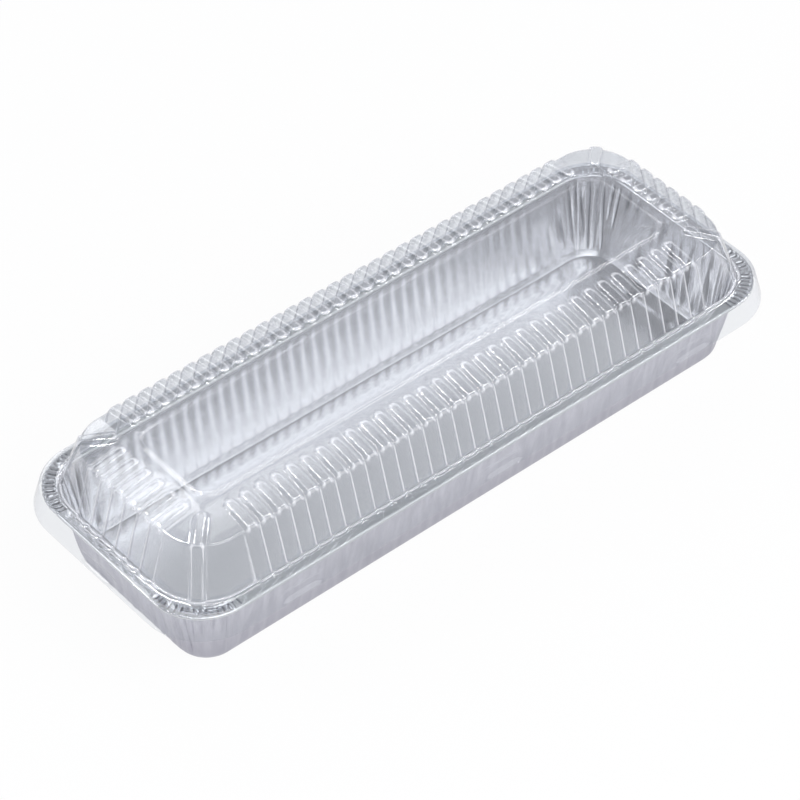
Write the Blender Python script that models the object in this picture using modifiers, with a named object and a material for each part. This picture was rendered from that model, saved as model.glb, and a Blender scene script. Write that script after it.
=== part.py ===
"""Long foil tray with a clear dome lid that snaps over its rim.

Metres, with +Z up and +X along the tray. The origin is at the middle of the tray's underside.
Each piece is one thin sheet. A quarter of its inner or lower face is laid as rings round the
middle, and is then mirrored twice and given its thickness.
"""

import math
from dataclasses import dataclass

import bmesh
import bpy

# Foil tray
RIM_LENGTH = 0.3140
RIM_WIDTH = 0.1130
RIM_CORNER = 0.0240
TRAY_DEPTH = 0.0400
FOIL_THICKNESS = 0.0001
FLANGE_WIDTH = 0.0070
WALL_TOP_CORNER = 0.0175
WALL_LEAN = 0.0062
FLOOR_CORNER = 0.0140
FLOOR_ROUNDING = 0.0025
FOOT_BAND = 0.0055
PANEL_SLOPE = 0.0040
PANEL_RISE = 0.0007
FLUTE_PITCH = 0.0061
FLUTE_DEPTH = 0.0009
FLUTE_START = 0.0035
FLUTE_STOP = 0.0025
CORNER_PLEATS = 5
BEAD_DIAMETER = 0.0022
BEAD_TURN = math.radians(250)
BEAD_STEPS = 6

# Clear lid
SHEET_THICKNESS = 0.0003
SEAT_GAP = 0.0003
SIDE_GAP = 0.0004
FOLD = 0.0006
SKIRT_DEPTH = 0.0100
SKIRT_FLARE = 0.0028
LID_FLANGE_WIDTH = 0.0072
LID_RISE = 0.0256
LID_PANEL_CORNER = 0.0075
STEP_WIDTH = 0.0019
STEP_DROP = 0.0008
SHOULDER_WIDTH = 0.0194
SHOULDER_DROP = 0.0028
SHOULDER_CURVE = 1.6
SHOULDER_CORNER = 0.0195
EDGE_ROUNDING = 0.0008
EDGE_TURNS = (math.radians(25), math.radians(72))
DOME_LEAN = 0.0065
DOME_CORNER = 0.0225
RIB_PITCH = 0.0075
RIB_HEIGHT = 0.0014
RIB_INSET = 0.0037
RIB_RAMP = 0.0030
LONG_RIB_MARGIN = 0.0043
CORNER_RIB_WIDTH = 0.0062
CORNER_RIB_CREST = 0.0028
CORNER_STEPS = 4
SNAP_LENGTH = 0.0220
SNAP_TOP = 0.0050
SNAP_HEIGHT = 0.0043
SNAP_SLOPE = 0.0013
SNAP_DEPTH = 0.0014
SNAP_CLEARANCE = 0.0005
SNAP_FROM_CORNER = 0.0175

MERGE = 0.00001


@dataclass(frozen=True)
class Ring:
    """A rounded rectangle round the middle, and how far relief pushes it outward and up."""

    half_length: float
    half_width: float
    corner: float
    height: float
    out: float = 0.0
    up: float = 0.0

    def grown(self, distance, height, out=0.0, up=0.0):
        """The ring moved outward everywhere by one distance, at another height."""
        return Ring(self.half_length + distance, self.half_width + distance,
                    max(self.corner + distance, 0.0005), height, out, up)


@dataclass(frozen=True)
class Stations:
    """Places of a ring's points, each with its relief from 0 to 1, over a quarter of the ring.

    The long side is in distances from the middle, the corner in shares of the way round,
    and the short side in distances from the middle again, coming back to it.
    """

    long_side: tuple
    corner: tuple
    short_side: tuple


def wave(count, straight, steps, shape):
    """Points over half a side with count waves on the whole side, from the middle outward."""
    spacing = 2 * straight / count
    points = []
    for number in range(count * steps // 2, 0, -1):
        place = straight - number * spacing / steps
        points.append((max(place, 0.0), shape((number % steps) / steps)))
    return points


def round_wave(phase):
    return 0.5 - 0.5 * math.cos(2 * math.pi * phase)


def arched_wave(phase):
    return math.sin(math.pi * phase)


def waves_that_fit(length, pitch):
    return max(2, 2 * round(length / pitch / 2))


def corner_shares(count, relief):
    return tuple((number / count, relief(number)) for number in range(count + 1))


def rib_in_corner(run):
    """Places and relief round a corner that has one rib on its diagonal."""
    foot = 0.5 - CORNER_RIB_WIDTH / run / 2
    crest = 0.5 - CORNER_RIB_CREST / run / 2
    before = [(foot * number / CORNER_STEPS, 0.0) for number in range(CORNER_STEPS + 1)]
    before.append((crest, 1.0))
    after = [(1.0 - share, relief) for share, relief in before[::-1]]
    return tuple(before + after)


def corner_point(ring, share, start_x, start_y):
    """A point round the corner of a ring, and the direction that is outward there.

    The corner's diagonal is at a share of one half, also where one side adds a flat stretch.
    """
    flat_x = max(0.0, ring.half_length - ring.corner - start_x)
    flat_y = max(0.0, ring.half_width - ring.corner - start_y)
    arc = ring.corner * math.pi / 2
    to_diagonal = flat_x + arc / 2
    from_diagonal = arc / 2 + flat_y
    run = 2 * min(share, 0.5) * to_diagonal + 2 * max(share - 0.5, 0.0) * from_diagonal
    centre_x = ring.half_length - ring.corner
    centre_y = ring.half_width - ring.corner
    if run <= flat_x:
        return (centre_x - flat_x + run, ring.half_width), (0.0, 1.0)
    if run >= flat_x + arc:
        return (ring.half_length, centre_y - (run - flat_x - arc)), (1.0, 0.0)
    angle = (run - flat_x) / ring.corner
    outward = (math.sin(angle), math.cos(angle))
    return (centre_x + ring.corner * outward[0], centre_y + ring.corner * outward[1]), outward


def lay_ring(mesh, ring, stations, start_x, start_y):
    """The vertices of a quarter ring, as its long side, its corner and its short side."""

    def vertex(point, outward, relief):
        push = ring.out * relief
        return mesh.verts.new((point[0] + push * outward[0], point[1] + push * outward[1],
                               ring.height + ring.up * relief))

    corner = []
    for share, relief in stations.corner:
        point, outward = corner_point(ring, share, start_x, start_y)
        corner.append(vertex(point, outward, relief))
    long_side = [vertex((x, ring.half_width), (0.0, 1.0), relief)
                 for x, relief in stations.long_side]
    short_side = [vertex((ring.half_length, y), (1.0, 0.0), relief)
                  for y, relief in stations.short_side]
    return long_side + corner[:1], corner, corner[-1:] + short_side


def join_unlike(mesh, near, far):
    """Triangles between two runs with unlike numbers of points, each across the shorter way."""
    here = 0
    there = 0
    while here + 1 < len(near) or there + 1 < len(far):
        along_near = there + 1 == len(far)
        if not along_near and here + 1 < len(near):
            along_near = ((near[here + 1].co - far[there].co).length
                          <= (far[there + 1].co - near[here].co).length)
        if along_near:
            mesh.faces.new((near[here], near[here + 1], far[there]))
            here += 1
        else:
            mesh.faces.new((near[here], far[there + 1], far[there]))
            there += 1


def join_rings(mesh, inner, outer):
    """Faces between two rings: quads where their points match, otherwise triangles."""
    for near, far in zip(inner, outer):
        if len(near) != len(far):
            join_unlike(mesh, near, far)
            continue
        for number in range(len(near) - 1):
            mesh.faces.new((near[number], near[number + 1], far[number + 1], far[number]))


def make_sheet(name, rings, start_x, start_y, thickness, material, collection):
    """A piece pressed from one sheet, from its rings in order from the middle outward."""
    mesh = bmesh.new()
    laid = [lay_ring(mesh, ring, stations, start_x, start_y) for ring, stations in rings]
    middle = mesh.verts.new((0.0, 0.0, rings[0][0].height))
    long_side, corner, short_side = laid[0]
    outline = long_side + corner[1:] + short_side[1:]
    mesh.faces.new([middle] + outline[::-1])
    for inner, outer in zip(laid, laid[1:]):
        join_rings(mesh, inner, outer)
    bmesh.ops.triangulate(mesh, faces=mesh.faces[:])

    data = bpy.data.meshes.new(name)
    mesh.to_mesh(data)
    mesh.free()
    data.shade_smooth()
    data.set_sharp_from_angle(angle=math.radians(35))
    data.materials.append(material)
    piece = bpy.data.objects.new(name, data)
    collection.objects.link(piece)

    mirror = piece.modifiers.new("four quarters", "MIRROR")
    mirror.use_axis = (True, True, False)
    mirror.merge_threshold = MERGE
    solidify = piece.modifiers.new("sheet thickness", "SOLIDIFY")
    solidify.thickness = thickness
    solidify.offset = 1.0
    solidify.use_even_offset = True
    return piece


def tray_rings():
    """The outer and lower face of the tray, from the middle of its floor to its rolled edge."""
    rim = Ring(RIM_LENGTH / 2, RIM_WIDTH / 2, RIM_CORNER, TRAY_DEPTH)
    floor_inset = FLANGE_WIDTH + WALL_LEAN
    floor = Ring(rim.half_length - floor_inset, rim.half_width - floor_inset, FLOOR_CORNER, 0.0)
    wall_top = Ring(rim.half_length - FLANGE_WIDTH, rim.half_width - FLANGE_WIDTH,
                    WALL_TOP_CORNER, TRAY_DEPTH - FOIL_THICKNESS)

    straight_x = floor.half_length - floor.corner
    straight_y = floor.half_width - floor.corner
    fluted = Stations(
        tuple(wave(waves_that_fit(2 * straight_x, FLUTE_PITCH), straight_x, 2, round_wave)),
        corner_shares(2 * CORNER_PLEATS, lambda number: number % 2),
        tuple(wave(waves_that_fit(2 * straight_y, FLUTE_PITCH), straight_y, 2, round_wave)[::-1]))
    plain = Stations(((0.0, 0.0),), fluted.corner, ((0.0, 0.0),))

    def on_wall(height):
        share = height / wall_top.height
        return Ring(floor.half_length + share * WALL_LEAN, floor.half_width + share * WALL_LEAN,
                    floor.corner + share * (wall_top.corner - floor.corner), height, FLUTE_DEPTH)

    foot_outside = floor.grown(-FLOOR_ROUNDING, 0.0)
    foot_inside = foot_outside.grown(-FOOT_BAND, 0.0)
    panel_edge = foot_inside.grown(-PANEL_SLOPE, PANEL_RISE)
    rings = [(panel_edge, plain), (foot_inside, plain), (foot_outside, fluted),
             (on_wall(FLUTE_START), fluted), (on_wall(wall_top.height - FLUTE_STOP), fluted),
             (wall_top, fluted)]

    radius = BEAD_DIAMETER / 2
    sheet_radius = radius - FOIL_THICKNESS
    for step in range(BEAD_STEPS + 1):
        angle = BEAD_TURN * step / BEAD_STEPS
        height = TRAY_DEPTH - radius + sheet_radius * math.cos(angle)
        rings.append((rim.grown(sheet_radius * math.sin(angle) - radius, height), plain))
    return rings, straight_x, straight_y


def lid_fold():
    """The sharp line round the lid where its flange turns down into the skirt."""
    return Ring(RIM_LENGTH / 2 + SIDE_GAP, RIM_WIDTH / 2 + SIDE_GAP, RIM_CORNER + SIDE_GAP,
                TRAY_DEPTH + SEAT_GAP)


def lid_rings():
    """The under face of the lid, from the middle of its top to the edge of its skirt."""
    fold = lid_fold()
    seat = fold.height
    top = seat + LID_RISE

    def inside_fold(inset, corner, height, out=0.0):
        return Ring(fold.half_length - inset, fold.half_width - inset, corner, height, out)

    dome_inset = LID_FLANGE_WIDTH + DOME_LEAN
    step_inset = dome_inset + SHOULDER_WIDTH
    panel = inside_fold(step_inset + STEP_WIDTH, LID_PANEL_CORNER, top)
    step_foot = panel.grown(STEP_WIDTH, top - STEP_DROP)
    shoulder_edge = inside_fold(dome_inset, SHOULDER_CORNER, step_foot.height - SHOULDER_DROP)
    dome_foot = inside_fold(LID_FLANGE_WIDTH, DOME_CORNER, seat, RIB_HEIGHT)

    straight_y = shoulder_edge.half_width - shoulder_edge.corner
    straight_x = shoulder_edge.half_length - shoulder_edge.corner - LONG_RIB_MARGIN
    corner = rib_in_corner(shoulder_edge.corner * math.pi / 2 + LONG_RIB_MARGIN)
    ribbed = Stations(
        tuple(wave(waves_that_fit(2 * straight_x, RIB_PITCH), straight_x, 4, arched_wave)),
        corner,
        tuple(wave(waves_that_fit(2 * straight_y, RIB_PITCH), straight_y, 4, arched_wave)[::-1]))
    plain = Stations(((0.0, 0.0),), corner, ((0.0, 0.0),))

    def on_shoulder(distance, up):
        share = distance / SHOULDER_WIDTH
        corner_radius = shoulder_edge.corner - (SHOULDER_WIDTH - distance)
        least = min(step_foot.half_width + distance - straight_y,
                    step_foot.half_length + distance - straight_x)
        return Ring(step_foot.half_length + distance, step_foot.half_width + distance,
                    max(min(corner_radius, least), 0.0005),
                    step_foot.height - SHOULDER_DROP * share ** SHOULDER_CURVE, 0.0, up)

    def on_edge(distance, height, turn):
        return shoulder_edge.grown(distance, height, RIB_HEIGHT * math.sin(turn),
                                   RIB_HEIGHT * math.cos(turn))

    shortfall = EDGE_ROUNDING / 3
    upper_edge = on_edge(-EDGE_ROUNDING, shoulder_edge.height + shortfall, EDGE_TURNS[0])
    lower_edge = on_edge(shortfall, shoulder_edge.height - EDGE_ROUNDING, EDGE_TURNS[1])
    rings = [(panel, plain), (step_foot, plain), (on_shoulder(RIB_INSET, 0.0), ribbed),
             (on_shoulder(RIB_INSET + RIB_RAMP, RIB_HEIGHT), ribbed), (upper_edge, ribbed),
             (lower_edge, ribbed), (dome_foot, ribbed),
             (dome_foot.grown(RIB_HEIGHT + FOLD, seat), ribbed)]
    return rings + skirt_rings(fold, corner), straight_x, straight_y


def skirt_rings(fold, corner):
    """The lid's flange edge and its flared skirt, with the dents that snap under the rim."""
    seat = fold.height
    half = SNAP_LENGTH / 2
    far = fold.half_length - fold.corner - SNAP_FROM_CORNER - half
    slope = SNAP_SLOPE
    stations = Stations(
        ((0.0, 1.0), (half - slope, 1.0), (half, 0.0), (far - half, 0.0),
         (far - half + slope, 1.0), (far + half - slope, 1.0), (far + half, 0.0)),
        tuple((share, 0.0) for share, _ in corner),
        ((half, 0.0), (half - slope, 1.0), (0.0, 1.0)))

    def on_skirt(drop, push=0.0):
        flare = SKIRT_FLARE * (drop - FOLD) / (SKIRT_DEPTH - FOLD)
        room = flare + SIDE_GAP - SNAP_CLEARANCE
        return fold.grown(flare, seat - drop, -min(push, max(room, 0.0)))

    snap_bottom = SNAP_TOP + SNAP_HEIGHT
    levels = [(FOLD, 0.0), (SNAP_TOP, 0.0), (SNAP_TOP + slope, SNAP_DEPTH),
              (snap_bottom - slope, SNAP_DEPTH), (snap_bottom, 0.0), (SKIRT_DEPTH, 0.0)]
    return ([(fold.grown(-FOLD, seat), stations)]
            + [(on_skirt(drop, push), stations) for drop, push in levels])


def make_material(name, colour, roughness, metallic, transmission=0.0, ior=1.5):
    """A plain surface with the piece's own colour and gloss."""
    material = bpy.data.materials.new(name)
    material.use_nodes = True
    shader = material.node_tree.nodes["Principled BSDF"]
    shader.inputs["Base Color"].default_value = (*colour, 1.0)
    shader.inputs["Roughness"].default_value = roughness
    shader.inputs["Metallic"].default_value = metallic
    shader.inputs["Transmission Weight"].default_value = transmission
    shader.inputs["IOR"].default_value = ior
    return material


def make_foil_tray(collection):
    rings, straight_x, straight_y = tray_rings()
    foil = make_material("bright aluminium foil", (0.86, 0.86, 0.88), 0.25, 1.0)
    return make_sheet("foil_tray", rings, straight_x, straight_y, FOIL_THICKNESS, foil,
                      collection)


def make_clear_lid(collection):
    rings, straight_x, straight_y = lid_rings()
    clear = make_material("clear thermoformed sheet", (0.95, 0.95, 0.97), 0.06, 0.0, 1.0, 1.57)
    return make_sheet("clear_lid", rings, straight_x, straight_y, SHEET_THICKNESS, clear,
                      collection)


def main():
    for leftover in list(bpy.data.objects):
        bpy.data.objects.remove(leftover)
    parts = bpy.data.collections.new("foil_tray_with_lid")
    bpy.context.scene.collection.children.link(parts)
    make_foil_tray(parts)
    make_clear_lid(parts)


main()
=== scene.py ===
"""Looks of a long pressed foil tray under a clear dome lid.

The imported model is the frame, in metres, with +Z up and +X along the tray. Its two sheets are
replaced by finer ones of the same size: the tray with its flutes, corner pleats, flange crimps
and rolled edge, and the lid with its stepped panel, ribs, wavy foot, skirt and snap dents.
"""

import logging
import math
from collections.abc import Callable, Iterator
from dataclasses import dataclass
from enum import Enum
from functools import partial

import bmesh
import bpy
import numpy as np
from mathutils import Matrix, Vector, noise

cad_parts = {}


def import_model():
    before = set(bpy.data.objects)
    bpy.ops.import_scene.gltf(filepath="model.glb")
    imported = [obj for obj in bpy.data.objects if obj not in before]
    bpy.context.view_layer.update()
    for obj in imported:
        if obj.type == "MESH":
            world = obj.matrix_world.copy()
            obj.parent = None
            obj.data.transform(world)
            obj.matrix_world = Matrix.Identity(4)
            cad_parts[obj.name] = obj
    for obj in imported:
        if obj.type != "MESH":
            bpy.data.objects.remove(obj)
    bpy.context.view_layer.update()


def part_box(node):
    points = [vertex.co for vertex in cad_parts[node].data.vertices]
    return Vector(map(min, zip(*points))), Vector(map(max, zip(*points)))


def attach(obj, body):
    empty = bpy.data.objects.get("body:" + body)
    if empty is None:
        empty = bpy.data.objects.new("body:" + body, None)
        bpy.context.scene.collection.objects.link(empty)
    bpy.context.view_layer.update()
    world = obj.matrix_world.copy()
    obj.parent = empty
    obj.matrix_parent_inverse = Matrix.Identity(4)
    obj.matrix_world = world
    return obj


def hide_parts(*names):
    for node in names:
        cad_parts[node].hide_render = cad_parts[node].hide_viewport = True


MM = 0.001
LOG = logging.getLogger("foil tray")
# How high the lid rests above the rim.
SEAT_GAP = 0.3 * MM
# The least radius of a corner, the distance at which two points are one, and the length at
# which an edge is none.
LEAST_CORNER = 0.3 * MM
SAME_POINT = 0.001 * MM
NO_LENGTH = 0.0001 * MM
# Blender's Pointiness of a flat part.
FLAT = 0.5


def linear(code: str) -> tuple[float, float, float, float]:
    """Turns a colour as it is seen into the linear one that shaders take.

    Args:
        code: The sRGB colour as six hex digits.

    Returns:
        Red, green, blue and an alpha of 1.
    """
    shares = [int(code[start:start + 2], 16) / 255 for start in (0, 2, 4)]
    curved = [s / 12.92 if s <= 0.04045 else ((s + 0.055) / 1.055) ** 2.4 for s in shares]
    return (*curved, 1.0)


def add_node(tree: bpy.types.NodeTree, kind: str, settings: dict | None = None,
             links: dict | None = None) -> bpy.types.Node:
    """Adds a node with its settings and its links.

    Args:
        tree: The node tree that gets the node.
        kind: Blender's name of the node's type.
        settings: Values of the node's own properties, or of its inputs by name or number.
        links: What feeds its inputs, by their name or number: an output socket, or a node whose
            first output is meant.

    Returns:
        The new node.
    """
    node = tree.nodes.new(kind)
    for name, value in (settings or {}).items():
        if isinstance(name, str) and hasattr(node, name):
            setattr(node, name, value)
        else:
            node.inputs[name].default_value = value
    for name, source in (links or {}).items():
        socket = source.outputs[0] if isinstance(source, bpy.types.Node) else source
        tree.links.new(socket, node.inputs[name])
    return node


def smooth(share: np.ndarray | float) -> np.ndarray | float:
    """Eases a share from 0 to 1, level at both ends."""
    held = np.clip(share, 0.0, 1.0)
    return held * held * (3 - 2 * held)


def ramp(share: np.ndarray | float, bend: float) -> np.ndarray | float:
    """Rises evenly from 0 to 1, with short rounded bends at both ends.

    Args:
        share: Place on the rise, from 0 to 1.
        bend: Length of each bend, as a share of the rise.

    Returns:
        The height, from 0 to 1.
    """
    def begun(place: np.ndarray | float) -> np.ndarray | float:
        """Rises evenly from a rounded start at 0."""
        held = np.clip(place, 0.0, bend)
        return held * held / (2 * bend) + np.maximum(place - bend, 0.0)

    held = np.clip(share, 0.0, 1.0)
    return (begun(held) - begun(held - (1 - bend))) / (1 - bend)


def blank_material(name: str) -> tuple[bpy.types.Material, Callable[..., bpy.types.Node]]:
    """Makes a material with no nodes in it yet.

    Args:
        name: The finish's name.

    Returns:
        The material and add_node for its node tree.
    """
    material = bpy.data.materials.new(name)
    material.use_nodes = True
    material.node_tree.nodes.clear()
    return material, partial(add_node, material.node_tree)


@dataclass(frozen=True)
class PressedFoil:
    """Aluminium foil, cold rolled to 0.1 mm and pressed.

    Rolling leaves fine lines along the sheet, so the foil mirrors in streaks and not clearly,
    and pressing leaves it slightly crumpled, so what it mirrors breaks up.
    """

    colour: str = "E5E5E7"
    roughness: float = 0.24
    roughness_spread: float = 0.05
    roll_line: float = 1.2 * MM
    roll_stretch: float = 0.03
    roll_depth: float = 0.002 * MM
    crumple: float = 7.0 * MM
    crumple_depth: float = 0.035 * MM
    grain: float = 1.6 * MM
    grain_depth: float = 0.14 * MM
    grain_from: float = 38.4 * MM
    grain_full: float = 39.4 * MM
    flange_colour: str = "CDCFD0"
    flange_roughness: float = 0.48
    dull_until: float = 130.0 * MM
    dull_ease: float = 6.0 * MM
    # Painted shade in tight creases: its colour, and the Pointiness where it begins and where it
    # is full.
    painted_crease_shade_colour: str = "787A82"
    painted_crease_shade_limits: tuple[float, float] = (0.49, 0.455)

    def material(self) -> bpy.types.Material:
        """Builds the foil's shader.

        Returns:
            The material.
        """
        material, add = blank_material("rolled_aluminium_foil")
        place = add("ShaderNodeTexCoord").outputs["Object"]
        # Real roll lines are some 0.05 mm apart, so they are drawn coarser here to show at all.
        along = add("ShaderNodeMapping", {"Scale": (self.roll_stretch, 1.0, 1.0)},
                    {"Vector": place})
        lines = add("ShaderNodeTexNoise", {"Scale": 1 / self.roll_line, "Detail": 2.0},
                    {"Vector": along})
        crumples = add("ShaderNodeTexNoise",
                       {"Scale": 1 / self.crumple, "Detail": 2.5, "Roughness": 0.45},
                       {"Vector": place})
        fine = add("ShaderNodeBump", {"Strength": 1.0, "Distance": self.roll_depth},
                   {"Height": lines})
        coarse = add("ShaderNodeBump", {"Strength": 1.0, "Distance": self.crumple_depth},
                     {"Height": crumples, "Normal": fine})
        # The flange is worked most, which leaves it dinted, and dull along the sides.
        grains = add("ShaderNodeTexNoise",
                     {"Scale": 1 / self.grain, "Detail": 3.0, "Roughness": 0.6},
                     {"Vector": place})
        spot = add("ShaderNodeSeparateXYZ", links={"Vector": place})
        on_flange = add("ShaderNodeMapRange",
                        {"From Min": self.grain_from, "From Max": self.grain_full},
                        {"Value": spot.outputs["Z"]})
        dinted = add("ShaderNodeBump", {"Distance": self.grain_depth},
                     {"Strength": on_flange, "Height": grains, "Normal": coarse})
        gloss = add("ShaderNodeMapRange",
                    {"To Min": self.roughness - self.roughness_spread,
                     "To Max": self.roughness + self.roughness_spread}, {"Value": crumples})
        from_middle = add("ShaderNodeMath", {"operation": "ABSOLUTE"}, {0: spot.outputs["X"]})
        on_side = add("ShaderNodeMapRange",
                      {"From Min": self.dull_until + self.dull_ease, "From Max": self.dull_until},
                      {"Value": from_middle})
        dull = add("ShaderNodeMath", {"operation": "MULTIPLY"}, {0: on_side, 1: on_flange})
        rough = add("ShaderNodeMix", {"data_type": "FLOAT", "B": self.flange_roughness},
                    {"Factor": dull, "A": gloss})
        tone = add("ShaderNodeMix",
                   {"data_type": "RGBA", 6: linear(self.colour), 7: linear(self.flange_colour)},
                   {0: dull})
        # Painted shade: the colour darkens in tight creases, found by Pointiness, where light that
        # falls in is lost between the two sides.
        form = add("ShaderNodeNewGeometry")
        painted_crease_shade = add("ShaderNodeMapRange",
                   {"From Min": self.painted_crease_shade_limits[0], "From Max": self.painted_crease_shade_limits[1]},
                   {"Value": form.outputs["Pointiness"]})
        with_painted_crease_shade = add("ShaderNodeMix", {"data_type": "RGBA", 7: linear(self.painted_crease_shade_colour)},
                      {0: painted_crease_shade, 6: tone.outputs[2]})
        shader = add("ShaderNodeBsdfPrincipled", {"Metallic": 1.0},
                     {"Base Color": with_painted_crease_shade.outputs[2], "Roughness": rough, "Normal": dinted})
        add("ShaderNodeOutputMaterial", links={"Surface": shader})
        return material


@dataclass(frozen=True)
class MattFoilSide:
    """The foil's matt side, where two sheets lay against each other in the last rolling.

    It is greyer than the bright side, with painted shade toward the foot, where it mirrors the
    shaded floor under the tray. It mirrors nothing clearly, and shows the drawing of the walls as
    faint upright streaks.
    """

    colours: tuple[str, str] = ("BFBEC8", "D8D7E0")
    # Painted shade toward the foot: its colour, its strength, and the heights where it starts and
    # where it is full.
    painted_foot_shade_colour: str = "A6A6B1"
    painted_foot_shade_share: float = 0.75
    painted_foot_shade_limits: tuple[float, float] = (32.0 * MM, 6.0 * MM)
    roughness: float = 0.4
    streak: float = 3.4 * MM
    streak_stretch: float = 0.12
    streak_limits: tuple[float, float] = (0.35, 0.65)
    rub: float = 5.0 * MM
    rub_depth: float = 0.12 * MM

    def material(self) -> bpy.types.Material:
        """Builds the matt side's shader.

        Returns:
            The material.
        """
        material, add = blank_material("matt_aluminium_foil")
        place = add("ShaderNodeTexCoord").outputs["Object"]
        upright = add("ShaderNodeMapping", {"Scale": (1.0, 1.0, self.streak_stretch)},
                      {"Vector": place})
        streaks = add("ShaderNodeTexNoise",
                      {"Scale": 1 / self.streak, "Detail": 3.0, "Roughness": 0.6},
                      {"Vector": upright})
        share = add("ShaderNodeMapRange",
                    {"From Min": self.streak_limits[0], "From Max": self.streak_limits[1]},
                    {"Value": streaks})
        tone = add("ShaderNodeMix",
                   {"data_type": "RGBA", 6: linear(self.colours[0]), 7: linear(self.colours[1])},
                   {0: share})
        spot = add("ShaderNodeSeparateXYZ", links={"Vector": place})
        # Painted shade: the colour darkens toward the foot, standing in for the shaded floor that
        # the wall mirrors there.
        low = add("ShaderNodeMapRange",
                  {"From Min": self.painted_foot_shade_limits[0], "From Max": self.painted_foot_shade_limits[1],
                   "To Max": self.painted_foot_shade_share}, {"Value": spot.outputs["Z"]})
        with_painted_foot_shade = add("ShaderNodeMix", {"data_type": "RGBA", 7: linear(self.painted_foot_shade_colour)},
                     {0: low, 6: tone.outputs[2]})
        rubs = add("ShaderNodeTexNoise",
                   {"Scale": 1 / self.rub, "Detail": 2.0, "Distortion": 0.6}, {"Vector": place})
        bump = add("ShaderNodeBump", {"Strength": 1.0, "Distance": self.rub_depth},
                   {"Height": rubs})
        shader = add("ShaderNodeBsdfPrincipled", {"Metallic": 1.0, "Roughness": self.roughness},
                     {"Base Color": with_painted_foot_shade.outputs[2], "Normal": bump})
        add("ShaderNodeOutputMaterial", links={"Surface": shader})
        return material


@dataclass(frozen=True)
class FormedClearSheet:
    """Clear polyester sheet of 0.3 mm, drawn hot over a mould.

    So thin a sheet doesn't bend what is seen through it. It shows by what it mirrors, most where
    it turns edge on to the eye, by a faint cool grey and a little milkiness there, and by thin
    whitish lines along its bends, which the stretching over the mould leaves.
    """

    facing_tint: str = "F8F9FA"
    edge_tint: str = "F5F6F9"
    edge_power: float = 2.0
    milk: str = "F2F2F6"
    milk_share: float = 0.26
    milk_power: float = 2.5
    refractive_index: float = 1.57
    mirror_power: float = 5.0
    roughness: float = 0.05
    ripple: float = 14.0 * MM
    ripple_depth: float = 0.015 * MM
    bend_haze: float = 0.42
    haze_from: float = 40.5 * MM
    lying_haze: float = 0.5
    bend_limits: tuple[float, float] = (0.016, 0.036)
    upright_limits: tuple[float, float] = (0.75, 0.45)

    def material(self) -> bpy.types.Material:
        """Builds the clear sheet's shader.

        Returns:
            The material.
        """
        material, add = blank_material("thermoformed_clear_polyester")
        place = add("ShaderNodeTexCoord").outputs["Object"]
        ripples = add("ShaderNodeTexNoise", {"Scale": 1 / self.ripple, "Detail": 1.0},
                      {"Vector": place})
        bump = add("ShaderNodeBump", {"Strength": 1.0, "Distance": self.ripple_depth},
                   {"Height": ripples})
        turned = add("ShaderNodeLayerWeight", {"Blend": 0.5}, {"Normal": bump})
        steep, edge, deep = (
            add("ShaderNodeMath", {"operation": "POWER", 1: power}, {0: turned.outputs["Facing"]})
            for power in (self.mirror_power, self.edge_power, self.milk_power))
        head_on = ((self.refractive_index - 1) / (self.refractive_index + 1)) ** 2
        mirrored = add("ShaderNodeMapRange", {"To Min": head_on, "To Max": 1.0}, {"Value": steep})
        tint = add("ShaderNodeMix",
                   {"data_type": "RGBA", 6: linear(self.facing_tint), 7: linear(self.edge_tint)},
                   {0: edge})
        through = add("ShaderNodeBsdfTransparent", links={"Color": tint.outputs[2]})
        gloss = add("ShaderNodeBsdfGlossy", {"Roughness": self.roughness}, {"Normal": bump})
        share = add("ShaderNodeMath", {"operation": "MULTIPLY", 1: self.milk_share}, {0: deep})
        # Stretched sheet whitens along its bends: most on the steep walls, which are drawn
        # thinnest, about half as much on what lies flat, and not below the dome.
        form = add("ShaderNodeNewGeometry")
        lift = add("ShaderNodeMath", {"operation": "SUBTRACT", 1: FLAT},
                   {0: form.outputs["Pointiness"]})
        bent = add("ShaderNodeMath", {"operation": "ABSOLUTE"}, {0: lift})
        whitened = add("ShaderNodeMapRange",
                       {"From Min": self.bend_limits[0], "From Max": self.bend_limits[1],
                        "To Max": self.bend_haze}, {"Value": bent})
        faced = add("ShaderNodeSeparateXYZ", links={"Vector": form.outputs["Normal"]})
        lying = add("ShaderNodeMath", {"operation": "ABSOLUTE"}, {0: faced.outputs["Z"]})
        upright = add("ShaderNodeMapRange",
                      {"From Min": self.upright_limits[0], "From Max": self.upright_limits[1],
                       "To Min": self.lying_haze}, {"Value": lying})
        spot = add("ShaderNodeSeparateXYZ", links={"Vector": place})
        on_dome = add("ShaderNodeMath", {"operation": "GREATER_THAN", 1: self.haze_from},
                      {0: spot.outputs["Z"]})
        steep_dome = add("ShaderNodeMath", {"operation": "MULTIPLY"}, {0: upright, 1: on_dome})
        bend = add("ShaderNodeMath", {"operation": "MULTIPLY"}, {0: whitened, 1: steep_dome})
        cloud = add("ShaderNodeMath", {"operation": "MAXIMUM"}, {0: share, 1: bend})
        haze = add("ShaderNodeBsdfDiffuse", {"Color": linear(self.milk)})
        body = add("ShaderNodeMixShader", links={0: cloud, 1: through, 2: haze})
        both = add("ShaderNodeMixShader", links={0: mirrored, 1: body, 2: gloss})
        add("ShaderNodeOutputMaterial", links={"Surface": both})
        return material


class Side(Enum):
    """The kinds of stretch round a sheet."""

    LONG = 0
    CORNER = 1
    SHORT = 2


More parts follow.
